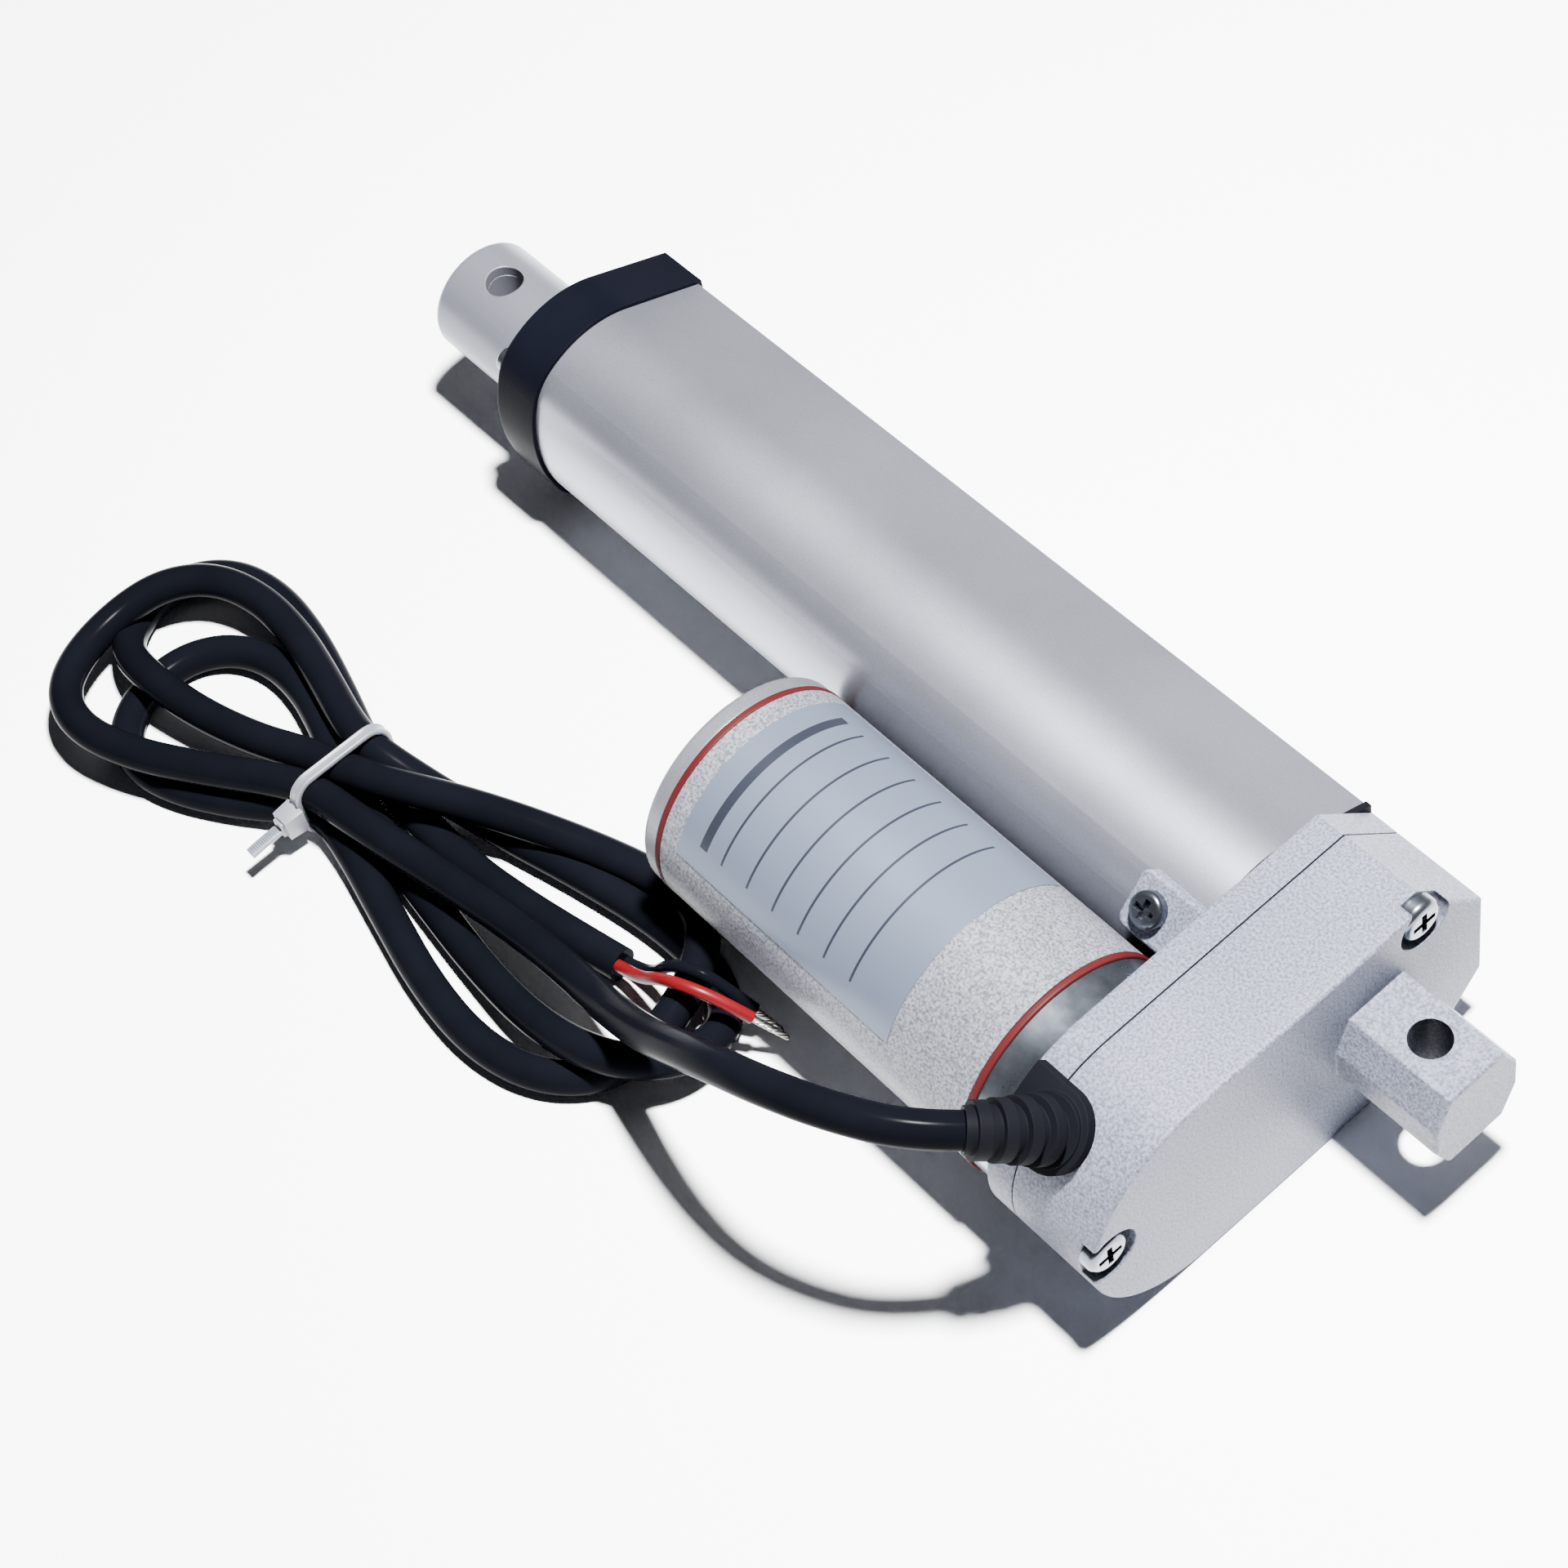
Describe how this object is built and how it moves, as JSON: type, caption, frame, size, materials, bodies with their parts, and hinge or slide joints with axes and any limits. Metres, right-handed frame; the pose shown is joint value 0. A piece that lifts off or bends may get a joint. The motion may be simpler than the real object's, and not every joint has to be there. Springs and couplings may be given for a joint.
{
  "type": "linear actuator",
  "caption": "Electric linear actuator with a side motor, spur gearbox, lead screw, sliding rod, pin holes at both ends and a tied cable with bare wire ends",
  "frame": {"origin": "middle of the rear pin hole, on the rod's axis", "axes": "+X the way the rod extends, +Y from the rod to the motor, +Z along both pin holes, up as it lies"},
  "size_m": [0.2326, 0.1226, 0.049],
  "materials": {
    "cast_alloy": "shot-blasted die casting",
    "blasted_tube": "fine blasted and anodised extrusion",
    "blasted_sleeve": "coarse blasted",
    "rod_aluminium": "satin anodised",
    "black_plastic": "moulded, fine texture",
    "black_rubber": "moulded",
    "zinc_steel": "bright zinc plate",
    "end_cap_alloy": "turned",
    "red_seal": "moulded",
    "label_film": "satin silver polyester",
    "machined_steel": "turned",
    "acetal": "moulded natural acetal",
    "bronze": "sintered",
    "copper": "drawn copper",
    "electrical_steel": "laminated",
    "ferrite": "sintered",
    "board": "solder mask",
    "switch_plastic": "moulded",
    "cable_sheath": "glossy PVC",
    "red_insulation": "glossy PVC",
    "tinned_copper": "tinned strands",
    "nylon": "natural nylon"
  },
  "bodies": {
    "root": {"rear_cover": "cast_alloy", "front_housing": "cast_alloy", "cover_gasket": "black_rubber", "cover_screws": "zinc_steel", "tab_screws": "zinc_steel", "strain_relief": "black_rubber", "idler_pin": "machined_steel", "bearing_outer_rings": "machined_steel", "bearing_balls": "machined_steel", "outer_tube": "blasted_tube", "tube_gasket": "black_rubber", "front_cap": "black_plastic", "cap_screws": "zinc_steel", "rod_wiper": "black_rubber", "rod_guide": "acetal", "limit_switch_board": "board", "limit_switches": "switch_plastic", "motor_mount_ring": "zinc_steel", "motor_seals": "red_seal", "motor_sleeve": "blasted_sleeve", "motor_label": "label_film", "motor_end_cap": "end_cap_alloy", "motor_bolts": "zinc_steel", "motor_can": "machined_steel", "motor_end_plate": "machined_steel", "motor_bushes": "bronze", "motor_magnets": "ferrite", "brush_holder": "switch_plastic", "motor_brushes": "ferrite", "cable_lead": "cable_sheath", "cable_hank": "cable_sheath", "cable_tie": "nylon", "red_wire": "red_insulation", "black_wire": "cable_sheath", "wire_tips": "tinned_copper"},
    "rod": {"rod_tube": "rod_aluminium", "rod_plug": "rod_aluminium", "drive_nut": "acetal"},
    "screw": {"lead_screw": "machined_steel", "screw_gear": "acetal", "screw_stop_ring": "machined_steel", "bearing_inner_rings": "machined_steel"},
    "idler": {"idler_gear": "acetal"},
    "rotor": {"motor_shaft": "machined_steel", "motor_pinion": "machined_steel", "armature_core": "electrical_steel", "armature_windings": "copper", "commutator": "copper"}
  },
  "joints": [
    {"name": "motor_spin", "type": "hinge", "parent": "root", "child": "rotor", "pos_m": [0, 0.0346, 0], "axis": [-1, 0, 0], "range_deg": [0, 61875]},
    {"name": "idler_spin", "type": "hinge", "parent": "root", "child": "idler", "pos_m": [0, 0.0179, 0.00186], "axis": [-1, 0, 0], "range_deg": [-24750, 0]},
    {"name": "screw_spin", "type": "hinge", "parent": "root", "child": "screw", "pos_m": [0, 0, 0], "axis": [-1, 0, 0], "range_deg": [0, 9000]},
    {"name": "rod_slide", "type": "slide", "parent": "root", "child": "rod", "axis": [1, 0, 0], "range_m": [0, 0.1]}
  ],
  "couplings": [
    {"joint": "idler_spin", "follows": "motor_spin", "ratio": -0.4},
    {"joint": "screw_spin", "follows": "motor_spin", "ratio": 0.14545},
    {"joint": "rod_slide", "follows": "motor_spin", "m_per_rad": 0.000092599}
  ]
}
